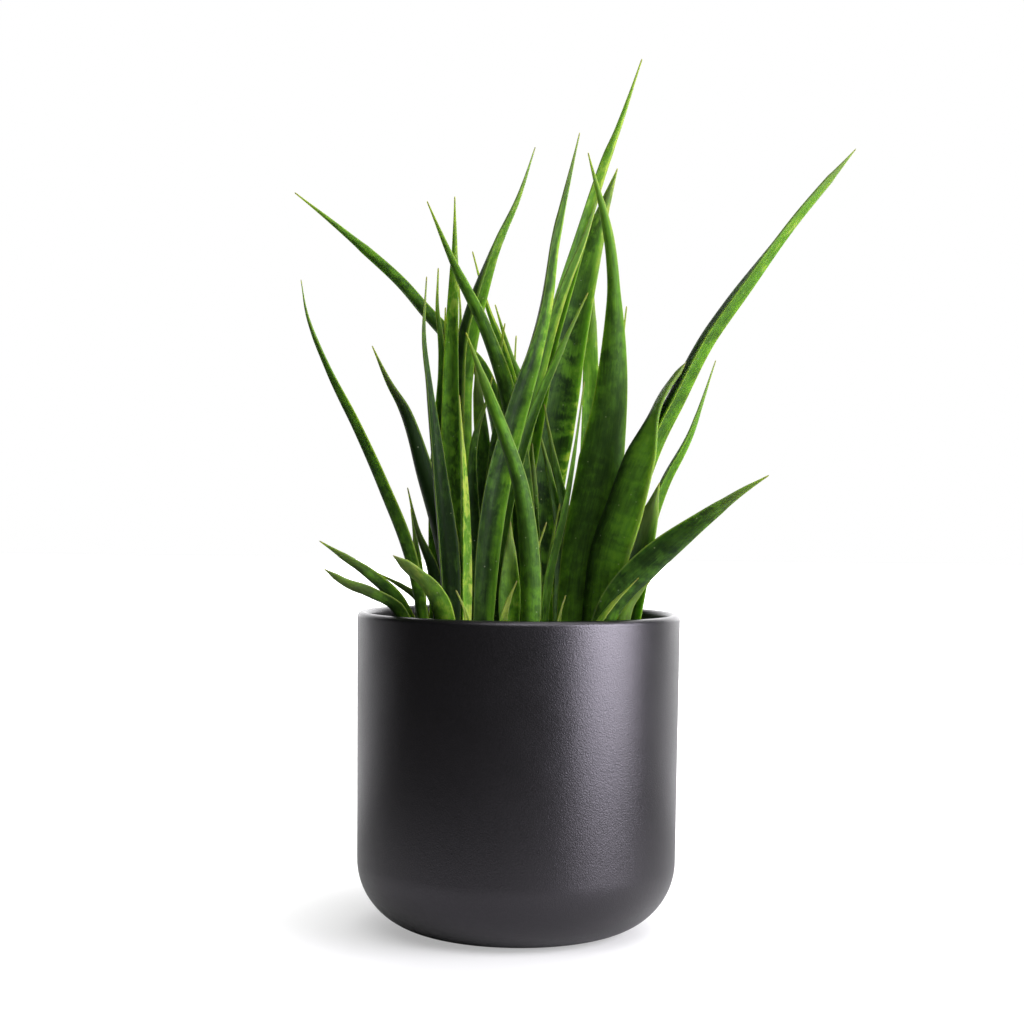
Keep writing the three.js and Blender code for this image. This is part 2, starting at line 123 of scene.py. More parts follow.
# One row for each leaf, in millimetres, as in the part: greatest width; shares of the length at the
# widest place and at the shoulder; fullness; the channel's depth to half the width; facing and twist
# in degrees; the middle line's points.
LEAF_ROWS = [
    # Leaves at the front of the clump
    [8.5, 0.2, 0.86, 1.8, 0.62, 160, 0, [[4, -45, 114], [4, -48, 156], [0, -50, 189],
      [-7, -51, 211], [-15, -51, 232], [-23, -52, 253]]],
    [5.5, 0.3, 0.8, 1.4, 0.62, 50, 0, [[-22, -43, 114], [-22.2, -44, 160], [-23.4, -44, 197],
      [-25.7, -43, 228]]],
    [12, 0.5, 0.9, 1.3, 0.45, 130, 0, [[-28, -46, 114], [-31, -50, 136], [-35.4, -52, 147],
      [-42.8, -55, 155.2], [-51.4, -57, 162]]],
    [4.5, 0.35, 0.8, 1.2, 0.62, 30, 0, [[-9, -42, 114], [-6, -45, 139], [-1, -48, 152]]],
    [3.5, 0.3, 0.7, 1.2, 0.62, 0, 0, [[-17, -49, 114], [-22, -50, 139], [-26, -51, 148]]],
    [3, 0.3, 0.7, 1.2, 0.62, 0, 0, [[14, -44, 114], [17, -45, 139], [19, -45, 146]]],
    [10.5, 0.3, 0.68, 1.2, 0.62, 45, 0, [[-27.6, -38, 114], [-30, -39, 160], [-34.2, -39, 197],
      [-38.2, -38, 230], [-40.8, -37, 253], [-40, -36, 277.6]]],
    [11, 0.32, 0.83, 1.2, 0.62, 20, 30, [[-16, -36, 114], [-13.6, -36, 164], [-9.2, -33, 195],
      [-0.8, -29, 227], [4.9, -27.4, 247], [9.6, -26, 267], [13.1, -25, 292], [16.3, -24, 308],
      [23.5, -22, 341]]],
    [4, 0.3, 0.76, 1.2, 0.62, 30, 0, [[9, -31, 114], [12, -32, 152], [18, -32, 179],
      [22.2, -32, 204], [26.3, -31, 235]]],
    [3.5, 0.3, 0.7, 1.2, 0.62, 0, 0, [[4, -34, 114], [7, -36, 162], [11, -37, 176]]],
    [9, 0.5, 0.84, 1.4, 0.62, 0, 0, [[-4, -31, 114], [-4, -32, 147], [-4, -33, 160], [-4, -34, 176]]],
    [6, 0.35, 0.84, 1.2, 0.62, 5, 0, [[-10, -27, 114], [-9, -27, 160], [-5, -25, 187],
      [5, -22, 221], [16, -19, 248], [28, -16, 274]]],
    [10.5, 0.3, 0.83, 1.3, 0.5, 150, 0, [[2, -21, 114], [0.6, -18.6, 185], [-4.8, -19.5, 225],
      [-16, -24, 258], [-28.5, -28, 283], [-40.4, -32, 309.6]]],
    # Leaves that lean out low over the rim, left and right
    [8.2, 0.45, 0.84, 1.2, 0.62, 130, 0, [[-37, -24, 114], [-52, -31, 143], [-61, -35, 152],
      [-72, -38, 160.1], [-83, -40, 167.2]]],
    [7.2, 0.45, 0.92, 1.2, 0.62, 130, 0, [[-41, -29, 114], [-51, -37, 139.6], [-61, -44, 145.8],
      [-71, -47, 150.2], [-80, -50, 156]]],
    [5, 0.4, 0.8, 1.2, 0.62, 130, 0, [[-38, -15, 114], [-42, -19, 141], [-50, -21, 148], [-61, -23, 154]]],
    [12.6, 0.42, 0.8, 1.4, 0.5, 205, 0, [[29, -45, 114], [38, -49, 142.2], [52, -51, 158.8],
      [71, -55, 175.2], [88, -58, 188.4], [100, -60, 196]]],
    [8, 0.55, 0.85, 1.2, 0.62, 205, 0, [[39, -36, 114], [45, -39, 142], [54, -42, 152.4]]],
    [4.5, 0.4, 0.8, 1.2, 0.62, 90, 0, [[22, -50, 114], [34, -54, 138], [48, -58, 154]]],
    # Leaves on the left side
    [8.8, 0.3, 0.84, 1.3, 0.62, 110, 0, [[-36, -36, 114], [-45.6, -36, 161], [-56.7, -35, 189],
      [-68.7, -33, 215], [-80.6, -31, 238], [-90.1, -29, 261], [-93.2, -28, 276.8]]],
    [11.6, 0.35, 0.8, 1.4, 0.62, 150, 0, [[-23, -29, 114], [-31.4, -29, 166], [-41, -28, 197],
      [-49, -26, 222], [-56, -25, 234.2], [-63.3, -24, 249.6]]],
    [7.5, 0.35, 0.72, 1.2, 0.62, 150, 0, [[-31, -21, 114], [-37, -20, 155], [-43, -19, 170],
      [-48, -18, 190]]],
    [7, 0.4, 0.8, 1.3, 0.62, 60, 0, [[-42, -3, 114], [-44, 1, 152], [-45.8, 5, 168], [-48, 9, 181]]],
    [8.5, 0.45, 0.85, 1.5, 0.62, -20, 0, [[-26, -13, 114], [-28.6, -14, 185], [-29.8, -14, 228],
      [-29.7, -14, 262], [-29.2, -14, 290], [-29.4, -13, 315]]],
    [9, 0.45, 0.76, 1.2, 0.62, 0, 0, [[-35.4, 3, 114], [-35.2, 3, 190], [-34.4, 3, 228],
      [-34.3, 2.5, 241], [-35.4, 1.5, 256], [-36.9, 0.5, 268], [-36.7, 0, 286]]],
    [6, 0.35, 0.65, 1.2, 0.62, 0, 0, [[-27, 10, 114], [-28.5, 10.5, 198], [-31.6, 8.5, 238],
      [-33.5, 6.2, 252], [-33.6, 5.5, 269.5]]],
    [6, 0.45, 0.8, 1.2, 0.62, 0, 0, [[-34, 16, 114], [-33, 17, 194], [-29.2, 18, 243],
      [-27.3, 18, 263], [-28.2, 18, 281.5]]],
    # Leaves in the middle
    [12.6, 0.42, 0.82, 1.3, 1.2, 76, -14, [[-21, -3, 114], [-27, -4, 207], [-24.6, -4, 252],
      [-13.6, -3, 290], [-2.3, -2, 316], [5, -1, 339]]],
    [8.5, 0.45, 0.92, 1.8, 0.62, 0, 0, [[-17, 8.5, 114], [-16, 8.5, 190], [-16.6, 8.5, 208],
      [-18, 8.2, 222], [-19.4, 8, 236], [-20.2, 8, 244]]],
    [6, 0.4, 0.8, 1.2, 0.62, 0, 0, [[-19, -14, 114], [-19.6, -14, 170], [-20.4, -13.5, 205],
      [-18.1, -12, 217.5], [-14.7, -10.5, 228], [-12.4, -9.5, 238.6]]],
    [8, 0.35, 0.8, 1.2, 0.62, 0, 0, [[-12, 3, 114], [-12, 3, 185], [-11, 3, 207],
      [-8.8, 4, 225], [-9.2, 5, 250], [-7.4, 5, 262.8]]],
    [7, 0.35, 0.8, 1.3, 0.62, 0, 0, [[5, 8, 114], [2, 9, 207], [-6.5, 9, 247],
      [-15.1, 9, 270], [-22.1, 8, 294.5]]],
    [9.8, 0.36, 0.84, 1.1, 0.62, 150, 0, [[-4, 14, 114], [-7, 13, 203], [-18, 12, 242],
      [-30, 11.5, 254.8], [-42, 10.5, 267.4], [-53, 9.5, 280], [-62.5, 8, 288.8], [-84, 5, 306.4],
      [-100, 3, 318.6]]],
    [9, 0.42, 0.8, 1.2, 0.62, 0, 0, [[6, 20, 114], [3.2, 20, 226], [-5.3, 19, 251], [-12, 18, 272.4]]],
    [6, 0.35, 0.72, 1.2, 0.62, 0, 0, [[-2, 26, 114], [-4, 26, 203], [-3.4, 26, 235], [-2.4, 26, 259.4]]],
    [7, 0.35, 0.8, 1.2, 0.62, 0, 0, [[7, -13, 114], [6, -11, 172], [6, -7.5, 192], [5, -5, 210]]],
    [4, 0.3, 0.7, 1.2, 0.62, 0, 0, [[13, -12, 114], [13, -13, 160], [17, -14, 184]]],
    [9.8, 0.4, 0.84, 1.2, 0.7, 46, 0, [[-5, -9, 114], [-4.6, -9, 185], [7.4, -10, 242],
      [13, -9.6, 262], [19.2, -8.4, 280], [26.4, -6, 298], [33.6, -4, 321]]],
    [8.8, 0.4, 0.84, 1.2, 0.75, 10, 0, [[0, -2, 114], [0.5, 0, 185], [3.6, 1, 207],
      [10.2, 2.3, 247], [16.4, 3.4, 270], [24.6, 5, 298], [35.4, 6, 333], [41.7, 7, 350],
      [51.6, 8, 380]]],
    [6, 0.35, 0.8, 1.2, 0.62, 0, 0, [[22, -4, 114], [20, -4, 177], [14, -4, 206], [10, -4, 227]]],
    [6, 0.35, 0.8, 1.2, 0.62, 0, 0, [[17, 4, 114], [18, 5, 168], [13, 7, 196], [7, 8, 220]]],
    [15.5, 0.45, 0.9, 1.7, 0.45, 0, 0, [[10, 12, 114], [11.8, 14, 190], [15.6, 15.4, 216],
      [18.8, 16.2, 235], [21.4, 17, 252], [26, 18, 275], [34.6, 19, 311], [42, 20, 334]]],
    [9.5, 0.55, 0.9, 1.4, 0.45, 0, 0, [[28, 24, 114], [32, 28, 213], [31.4, 29, 249], [32, 29, 284]]],
    # Leaves on the right side
    [19.3, 0.4, 0.69, 1, 0.35, 180, 0, [[22.4, -24, 114], [26, -24, 160], [33.8, -24, 200],
      [38.7, -22, 241], [37.3, -19, 292], [27.4, -15, 334]]],
    [27, 0.38, 0.9, 1.8, 0.9, 97, 0, [[30, -31, 114], [36.4, -36, 163], [42.4, -38, 182],
      [50, -38, 206.6], [57.9, -38, 228], [68.3, -37.5, 243.2]]],
    [10.4, 0.35, 0.93, 1.4, 0.9, 62, 0, [[33.8, -32, 114], [39.4, -35.4, 163], [48, -35, 190.5],
      [55.8, -34.5, 211.8], [64.3, -34, 228.9], [75.4, -33, 250.5], [82.5, -32, 261.5], [114.8, -27, 304.5],
      [140.6, -22, 335.5]]],
    [6, 0.35, 0.8, 1.2, 0.62, 0, 0, [[33, -14, 114], [39, -15, 173], [50, -14, 214]]],
    [7.5, 0.35, 0.8, 1.2, 0.8, 50, 0, [[42, -17, 114], [51.5, -17, 164], [60.9, -16, 192],
      [72.3, -15, 214], [83.2, -13, 246]]],
    [12, 0.58, 0.88, 1.5, 0.62, -10, 0, [[43.4, -27, 114], [49.5, -29, 160], [54.3, -30, 179],
      [58.2, -31, 193]]],
    [8, 0.35, 0.75, 1.2, 0.62, 0, 0, [[34, 20, 114], [39, 22, 181], [44, 24, 244], [47, 24, 273]]],
    [8, 0.4, 0.82, 1.3, 0.62, -40, 0, [[44, 4, 114], [48, 8, 150], [53, 14, 180], [57, 22, 200]]],
    [9, 0.4, 0.8, 1.3, 0.62, 20, 0, [[32, 32, 114], [35, 38, 160], [40, 50, 205], [46, 66, 245]]],
    # Leaves at the back, which lean away
    [9, 0.4, 0.82, 1.3, 0.62, 0, 0, [[-20, 26, 114], [-23, 31, 155], [-30, 40, 185], [-40, 52, 205]]],
    [9, 0.4, 0.8, 1.3, 0.62, -10, 0, [[-7, 37, 114], [-8, 44, 160], [-12, 56, 195], [-18, 72, 222]]],
    [10, 0.4, 0.82, 1.3, 0.62, 10, 0, [[5, 38, 114], [7, 46, 165], [10, 60, 210], [12, 80, 245]]],
    [11, 0.45, 0.84, 1.3, 0.62, 10, 0, [[19, 36, 114], [21, 42, 150], [25, 54, 175], [30, 70, 190]]],
    [9, 0.45, 0.84, 1.3, 0.62, 30, 0, [[-22, 43, 114], [-27, 52, 140], [-34, 62, 151], [-43, 74, 157]]],
    [9, 0.45, 0.84, 1.3, 0.62, -40, 0, [[29, 46, 114], [35, 55, 140], [42, 65, 151], [50, 76, 157]]],
]

# How each leaf is coloured, in the same order: how light it is, partly its own tone and partly
# painted light and shade for how lit or shaded it stands, from about -0.3 for dark to 0.9 for bright
# yellow-green; how strong its cross-bands are; how much painted light lightens its hollow side; and
# how strong the painted light along one side is, lighter towards that margin, with the sign of the side
LEAF_LOOKS = [
    (0.45, 0.25, 0.15, 0), (0.78, 0.6, 0.1, 0), (0.6, 0.4, 0.1, 0), (0.8, 0.3, 0.1, 0),
    (0.8, 0.3, 0.1, 0), (0.8, 0.3, 0.1, 0), (-0.1, 0.25, 0.1, 0), (-0.02, 0.3, 0.2, 0.8),
    (0.35, 0.3, 0.1, 0), (0.8, 0.3, 0.1, 0), (0.45, 0.4, 0.1, 0), (0.22, 0.3, 0.15, 0.2),
    (0.38, 0.3, 0.15, 0), (0.25, 0.35, 0.15, 0), (0.25, 0.35, 0.15, 0), (0.1, 0.35, 0.15, 0),
    (0.2, 0.35, 0.15, 0.1), (0.45, 0.35, 0.15, 0), (0.85, 0.3, 0.1, 0), (0.4, 0.35, 0.15, 0),
    (-0.25, 0.15, 0.1, 0), (0, 0.1, 0.1, 0), (0.3, 0.3, 0.1, 0), (0.45, 0.5, 0.15, 0.2),
    (0.15, 0.3, 0.15, 0), (0.15, 0.3, 0.15, 0), (0.1, 0.3, 0.1, 0), (0.15, 0.25, 0.4, 0.3),
    (0.05, 0.3, 0.1, 0), (0.05, 0.3, 0.1, 0), (0.1, 0.3, 0.1, 0), (0.3, 0.3, 0.15, 0.8),
    (0.35, 0.35, 0.15, 0), (0.2, 0.3, 0.1, 0.3), (0.2, 0.3, 0.1, 0), (0.1, 0.3, 0.1, 0),
    (0.4, 0.3, 0.1, 0), (0.2, 0.3, 0.15, 0.9), (0.36, 0.25, 0.2, 0.4), (0.1, 0.3, 0.1, 0),
    (0.05, 0.3, 0.1, 0), (0.18, 0.7, 0.1, 0.6), (0.52, 0.25, 0.1, 0), (0.42, 0.2, 0.1, -0.35),
    (-0.02, 0.2, 0.1, -1), (0.15, 0.25, 0.45, 0), (0.3, 0.3, 0.1, 0), (0.4, 0.15, 0.15, 0),
    (0, 0.2, 0.1, 0.8), (0.4, 0.3, 0.1, 0), (0.45, 0.35, 0.15, 0), (0.45, 0.35, 0.15, 0),
    (0.45, 0.35, 0.15, 0), (0.45, 0.35, 0.15, 0), (0.45, 0.35, 0.15, 0), (0.45, 0.35, 0.15, 0),
    (0.45, 0.35, 0.15, 0), (0.45, 0.35, 0.15, 0),
]


def mesh_object(name, points, faces, smooth=True):
    """New piece from its points, in metres, and its faces."""
    mesh = bpy.data.meshes.new(name)
    mesh.from_pydata([tuple(p) for p in points], [], faces)
    mesh.polygons.foreach_set("use_smooth", [smooth] * len(mesh.polygons))
    mesh.update()
    piece = bpy.data.objects.new(name, mesh)
    bpy.context.scene.collection.objects.link(piece)
    return piece


def add_attribute(mesh, name, values):
    """Gives each point of a mesh a number that its material can read."""
    attribute = mesh.attributes.new(name, "FLOAT", "POINT")
    attribute.data.foreach_set("value", np.asarray(values, dtype=np.float32))


def smooth_step(t):
    x = min(max(t, 0.0), 1.0)
    return x * x * (3 - 2 * x)


# Small helpers for node trees
class Tree:
    """A material's or the world's node tree, with short calls to add and join nodes."""

    def __init__(self, owner):
        owner.use_nodes = True
        self.nodes = owner.node_tree.nodes
        self.links = owner.node_tree.links
        self.nodes.clear()

    def add(self, kind, inputs=None, **settings):
        node = self.nodes.new(kind)
        for key, value in settings.items():
            setattr(node, key, value)
        for key, value in (inputs or {}).items():
            self.plug(node.inputs[key], value)
        return node

    def plug(self, socket, value):
        if isinstance(value, bpy.types.NodeSocket):
            self.links.new(value, socket)
        else:
            socket.default_value = value

    def attribute(self, name):
        return self.add("ShaderNodeAttribute", attribute_name=name).outputs["Fac"]

    def object_place(self):
        return self.add("ShaderNodeTexCoord").outputs["Object"]

    def math(self, operation, a, b=0.0, c=0.0):
        return self.add("ShaderNodeMath", {0: a, 1: b, 2: c}, operation=operation).outputs[0]

    def times(self, a, b):
        return self.math("MULTIPLY", a, b)

    def plus_share(self, start, amount, share):
        """The start with a share of the amount added to it."""
        return self.math("MULTIPLY_ADD", amount, share, start)

    def around_middle(self, noise, middle=0.5):
        """The noise less its middle value, so that it both lightens and darkens."""
        return self.math("SUBTRACT", noise, middle)

    def vector(self, x, y, z):
        return self.add("ShaderNodeCombineXYZ", {0: x, 1: y, 2: z}).outputs[0]

    def ramp(self, value, low, high):
        """0 at low, 1 at high, smooth between."""
        node = self.add(
            "ShaderNodeMapRange",
            {"Value": value, "From Min": low, "From Max": high},
            interpolation_type="SMOOTHSTEP",
        )
        return node.outputs[0]

    def noise(self, vector, detail, roughness=0.5, scale=1.0):
        inputs = {"Vector": vector, "Scale": scale, "Detail": detail, "Roughness": roughness}
        return self.add("ShaderNodeTexNoise", inputs).outputs[0]

    def mix(self, factor, a, b):
        node = self.add("ShaderNodeMix", data_type="RGBA")
        self.plug(node.inputs[0], factor)
        self.plug(node.inputs[6], a)
        self.plug(node.inputs[7], b)
        return node.outputs[2]

    def bump(self, height, distance, strength, normal=None):
        inputs = {"Height": height, "Distance": distance, "Strength": strength}
        if normal is not None:
            inputs["Normal"] = normal
        return self.add("ShaderNodeBump", inputs).outputs[0]

    def finish_surface(self, inputs):
        shader = self.add("ShaderNodeBsdfPrincipled", inputs)
        output = self.add("ShaderNodeOutputMaterial")
        self.links.new(shader.outputs[0], output.inputs["Surface"])


# Colours of the leaves
LEAF_DARK = (0.010, 0.028, 0.005, 1)
LEAF_MID = (0.036, 0.092, 0.010, 1)
LEAF_LIGHT = (0.108, 0.260, 0.018, 1)
LEAF_YELLOW = (0.380, 0.480, 0.070, 1)
TIP_COLOUR = (0.150, 0.180, 0.060, 1)
MARGIN_COLOUR = (0.140, 0.210, 0.050, 1)
SPECK_COLOUR = (0.260, 0.320, 0.150, 1)
DRY_COLOUR = (0.160, 0.110, 0.060, 1)

# How fine the leaves' patterns are: along the leaf, or across it for lines that run along it
BANDS_PER_METRE = 190.0
ZONES_PER_METRE = 22.0
MOTTLES_PER_METRE = 330.0
MOTTLE_STRETCH = 0.4
STREAKS_PER_METRE = 1300.0
STREAK_BREAKS_PER_METRE = 60.0
THREADS_PER_METRE = 3600.0
THREAD_BREAKS_PER_METRE = 120.0
SPECKS_PER_METRE = 420.0
BAND_FRAYING = 0.8
BAND_WAVINESS = 0.8
ZONE_WAVINESS = 0.6
SEED_STEP = 17.3

# Depths of the reliefs, in metres
THREAD_DEPTH = 0.00012
MOTTLE_DEPTH = 0.0004
GRAIN_DEPTH = 0.00012
PIT_DEPTH = 0.00010
FLECK_DEPTH = 0.0006

# How far each pattern moves the share of light green
ZONE_WEIGHT = 0.35
MOTTLE_WEIGHT = 0.65
STREAK_WEIGHT = 0.4
THREAD_WEIGHT = 0.25
FOOT_WEIGHT = 0.15
TIP_WEIGHT = 0.35
# Painted light along one side of a leaf
PAINTED_LIGHT_SIDE_WEIGHT = 0.55

# Cross-bands: their soft edges, the value between light and dark, and the zones where they show
BAND_EDGES = (0.38, 0.62)
BAND_MIDDLE = 0.4
BAND_ZONES = (0.3, 0.6)

# Shares of light green at which one green gives way to the next
MID_FROM_TO = (0.0, 0.5)
LIGHT_FROM_TO = (0.35, 0.95)
YELLOW_FROM_TO = (0.85, 1.35)

# Metres from the foot or the tip, and shares of half the width, where a change starts and ends
LIGHT_FOOT = (0.060, 0.015)
FADED_TIP = (0.035, 0.002)
DRY_TIP = (0.004, 0.0005)
PALE_MARGIN = (0.955, 1.0)
# Painted light: shares of half the width where one side grows lighter towards its margin
PAINTED_LIGHT_SIDE = (0.1, 0.6)

# Shares of the length where the fine patterns fade, and where the leaf gets lighter
CALM_FROM_TO = (0.95, 0.7)
LIGHT_TIP = (0.5, 0.95)

# Specks: edge of a speck in its cell, and share of the cells that stay without one
SPECK_EDGE = (0.17, 0.10)
PLAIN_CELLS = 0.88


def leaf_material():
    material = bpy.data.materials.new("leaf")
    tree = Tree(material)
    across = tree.attribute("across")
    side = tree.attribute("side")
    metres = tree.attribute("metres")
    along = tree.attribute("along")
    left = tree.attribute("left")
    hollow = tree.attribute("hollow")
    # The leaf's tone: partly its own, partly painted light and shade
    tone_and_painted_light = tree.attribute("tone_and_painted_light")
    banding = tree.attribute("banding")
    # How much painted light lightens the leaf's hollow side
    hollow_painted_light = tree.attribute("hollow_painted_light")
    # Strength and side of the painted light along one side
    painted_light_side = tree.attribute("painted_light_side")
    seeded = tree.times(tree.attribute("seed"), SEED_STEP)

    # Fine lines along the leaf, which also fray the edges of its cross-bands
    streak_side = tree.times(side, STREAKS_PER_METRE)
    streak_run = tree.times(metres, STREAK_BREAKS_PER_METRE)
    streaks = tree.noise(tree.vector(streak_side, seeded, streak_run), 3.0, 0.6)
    thread_side = tree.times(side, THREADS_PER_METRE)
    thread_run = tree.times(metres, THREAD_BREAKS_PER_METRE)
    threads = tree.noise(tree.vector(thread_side, seeded, thread_run), 2.0, 0.6)

    # Narrow cross-bands, stronger on some stretches than on others, and mottles
    fraying = tree.times(streaks, BAND_FRAYING)
    band_run = tree.plus_share(fraying, metres, BANDS_PER_METRE)
    band_place = tree.vector(tree.times(across, BAND_WAVINESS), seeded, band_run)
    bands = tree.ramp(tree.noise(band_place, 3.0, 0.65), *BAND_EDGES)
    zone_run = tree.times(metres, ZONES_PER_METRE)
    zone_place = tree.vector(tree.times(across, ZONE_WAVINESS), seeded, zone_run)
    zones = tree.noise(zone_place, 2.0)
    mottle_side = tree.times(side, MOTTLES_PER_METRE)
    mottle_run = tree.times(metres, MOTTLES_PER_METRE * MOTTLE_STRETCH)
    mottles = tree.noise(tree.vector(mottle_side, seeded, mottle_run), 3.0, 0.6)

    # Share of light green, moved by the leaf's tone, partly its own and partly painted light and shade,
    # lighter at the foot and towards the tip
    strength = tree.times(banding, tree.ramp(zones, *BAND_ZONES))
    shade = tree.times(tree.around_middle(bands, BAND_MIDDLE), strength)
    shade = tree.plus_share(shade, tree.around_middle(zones), ZONE_WEIGHT)
    fine = tree.times(tree.around_middle(mottles), MOTTLE_WEIGHT)
    fine = tree.plus_share(fine, tree.around_middle(streaks), STREAK_WEIGHT)
    fine = tree.plus_share(fine, tree.around_middle(threads), THREAD_WEIGHT)
    calm = tree.plus_share(0.4, tree.ramp(along, *CALM_FROM_TO), 0.6)
    shade = tree.plus_share(shade, fine, calm)
    shade = tree.plus_share(shade, tree.ramp(metres, *LIGHT_FOOT), FOOT_WEIGHT)
    shade = tree.plus_share(shade, tree.ramp(along, *LIGHT_TIP), TIP_WEIGHT)
    # Painted light: the hollow side lighter than the back
    shade = tree.plus_share(shade, hollow, hollow_painted_light)
    # Painted light: one side lighter towards its margin, as if it faced the light
    shade = tree.plus_share(shade, tree.ramp(tree.times(across, painted_light_side), *PAINTED_LIGHT_SIDE), PAINTED_LIGHT_SIDE_WEIGHT)
    shade = tree.math("ADD", shade, tone_and_painted_light)
    colour = tree.mix(tree.ramp(shade, *MID_FROM_TO), LEAF_DARK, LEAF_MID)
    colour = tree.mix(tree.ramp(shade, *LIGHT_FROM_TO), colour, LEAF_LIGHT)
    colour = tree.mix(tree.ramp(shade, *YELLOW_FROM_TO), colour, LEAF_YELLOW)

    # Pale specks, one in the middle of some of the cells
    cell_inputs = {"Vector": tree.object_place(), "Scale": SPECKS_PER_METRE}
    cells = tree.add("ShaderNodeTexVoronoi", cell_inputs)
    near = tree.ramp(cells.outputs["Distance"], *SPECK_EDGE)
    chance = tree.add("ShaderNodeSeparateColor", {0: cells.outputs["Color"]}).outputs[0]
    specks = tree.times(near, tree.math("GREATER_THAN", chance, PLAIN_CELLS))
    colour = tree.mix(tree.times(specks, 0.5), colour, SPECK_COLOUR)

    # Thin pale margins, the faded tip and its dry end
    edge = tree.ramp(tree.math("ABSOLUTE", across), *PALE_MARGIN)
    colour = tree.mix(tree.times(edge, 0.5), colour, MARGIN_COLOUR)
    colour = tree.mix(tree.times(tree.ramp(left, *FADED_TIP), 0.55), colour, TIP_COLOUR)
    colour = tree.mix(tree.times(tree.ramp(left, *DRY_TIP), 0.6), colour, DRY_COLOUR)

    normal = tree.bump(threads, THREAD_DEPTH, 0.6)
    normal = tree.bump(mottles, MOTTLE_DEPTH, 0.3, normal)
    tree.finish_surface({
        "Base Color": colour,
        "Roughness": tree.plus_share(0.43, streaks, 0.2),
        "Normal": normal,
        "Subsurface Weight": 0.5,
        "Subsurface Radius": (0.8, 1.0, 0.1),
        "Subsurface Scale": 0.004,
        "Specular IOR Level": 0.11,
    })
    return material


# The pot's glaze: colours, and how fine its patterns are
GLAZE_DARK = (0.003, 0.003, 0.003, 1)
GLAZE_LIGHT = (0.008, 0.0075, 0.008, 1)
GLAZE_TINT = (0.95, 0.90, 1.0, 1)
GRAIN_PER_METRE = 1800.0
PITS_PER_METRE = 700.0
CLOUDS_PER_METRE = 60.0


def ceramic_material():
    material = bpy.data.materials.new("ceramic")
    tree = Tree(material)
    place = tree.object_place()
    grain = tree.noise(place, 2.0, 0.6, GRAIN_PER_METRE)
    clouds = tree.noise(place, 3.0, 0.5, CLOUDS_PER_METRE)
    pits = tree.noise(place, 2.0, 0.5, PITS_PER_METRE)
    roughness = tree.plus_share(0.24, grain, 0.08)
    normal = tree.bump(grain, GRAIN_DEPTH, 0.9)
    normal = tree.bump(pits, PIT_DEPTH, 0.25, normal)
    tree.finish_surface({
        "Base Color": tree.mix(tree.ramp(grain, 0.35, 0.75), GLAZE_DARK, GLAZE_LIGHT),
        "Roughness": tree.plus_share(roughness, clouds, 0.08),
        "Normal": normal,
        "Specular IOR Level": 0.75,
        "Specular Tint": GLAZE_TINT,
    })
    return material


# The soil: colours, and how fine its patterns are
SOIL_DARK = (0.010, 0.0065, 0.004, 1)
SOIL_BROWN = (0.055, 0.034, 0.020, 1)
SOIL_FLECK = (0.12, 0.085, 0.055, 1)
SOIL_PATCHES_PER_METRE = 220.0
SOIL_FLECKS_PER_METRE = 1400.0


def soil_material():
    material = bpy.data.materials.new("soil")
    tree = Tree(material)
    place = tree.object_place()
    patches = tree.noise(place, 4.0, 0.6, SOIL_PATCHES_PER_METRE)
    flecks = tree.noise(place, 3.0, 0.6, SOIL_FLECKS_PER_METRE)
    colour = tree.mix(tree.ramp(patches, 0.3, 0.7), SOIL_DARK, SOIL_BROWN)
    colour = tree.mix(tree.ramp(flecks, 0.62, 0.78), colour, SOIL_FLECK)
    normal = tree.bump(flecks, FLECK_DEPTH, 0.8)
    tree.finish_surface({"Base Color": colour, "Roughness": 0.92, "Normal": normal})
    return material


# The floor: half its width, its greys at the pot, behind it and elsewhere, and its glow
FLOOR_HALF = 6.0
FLOOR_AT_POT = (0.6, 0.6, 0.6, 1)
FLOOR_BEHIND = (0.9, 0.9, 0.9, 1)
FLOOR_ELSEWHERE = (0.1, 0.1, 0.1, 1)
FLOOR_GLOW = 0.39
GLOW_RISE = 0.8

# Metres from the middle of the floor where a change starts and ends
GLOW_FROM_TO = (0.075, 0.22)
GREY_FROM_TO = (0.12, 0.36)
BEHIND_FROM_TO = (0.1, 0.35)


def floor_material():
    material = bpy.data.materials.new("floor")
    tree = Tree(material)
    seen = tree.add("ShaderNodeLightPath").outputs["Is Camera Ray"]
    place = tree.object_place()
    away = tree.add("ShaderNodeVectorMath", {0: place}, operation="LENGTH").outputs["Value"]
    glow = tree.plus_share(FLOOR_GLOW, tree.ramp(away, *GLOW_FROM_TO), GLOW_RISE)
    depth = tree.add("ShaderNodeSeparateXYZ", {0: place}).outputs["Y"]
    far = tree.mix(tree.ramp(depth, *BEHIND_FROM_TO), FLOOR_ELSEWHERE, FLOOR_BEHIND)
    tree.finish_surface({
        "Base Color": tree.mix(tree.ramp(away, *GREY_FROM_TO), FLOOR_AT_POT, far),
        "Roughness": 0.8,
        "Specular IOR Level": 0.1,
        "Emission Color": (1, 1, 1, 1),
        "Emission Strength": tree.times(seen, glow),
    })
    return material


# Pot
def turned(outline, sides):
    """Points and faces of a body turned round Z.

    The outline is in millimetres, and starts and ends on the axis.
    """
    inner = outline[1:-1]
    points = [(0, 0, outline[0][1] * MM), (0, 0, outline[-1][1] * MM)]
    for radius, height in inner:
        for side in range(sides):
            turn = 2 * math.pi * side / sides
            points.append((radius * MM * math.cos(turn), radius * MM * math.sin(turn), height * MM))
    faces = []
    last = 2 + (len(inner) - 1) * sides
    for side in range(sides):
        after = (side + 1) % sides
        faces.append((0, 2 + after, 2 + side))
        faces.append((1, last + side, last + after))
        for row in range(len(inner) - 1):
            low = 2 + row * sides
            high = low + sides
            faces.append((low + side, low + after, high + after, high + side))
    return points, faces


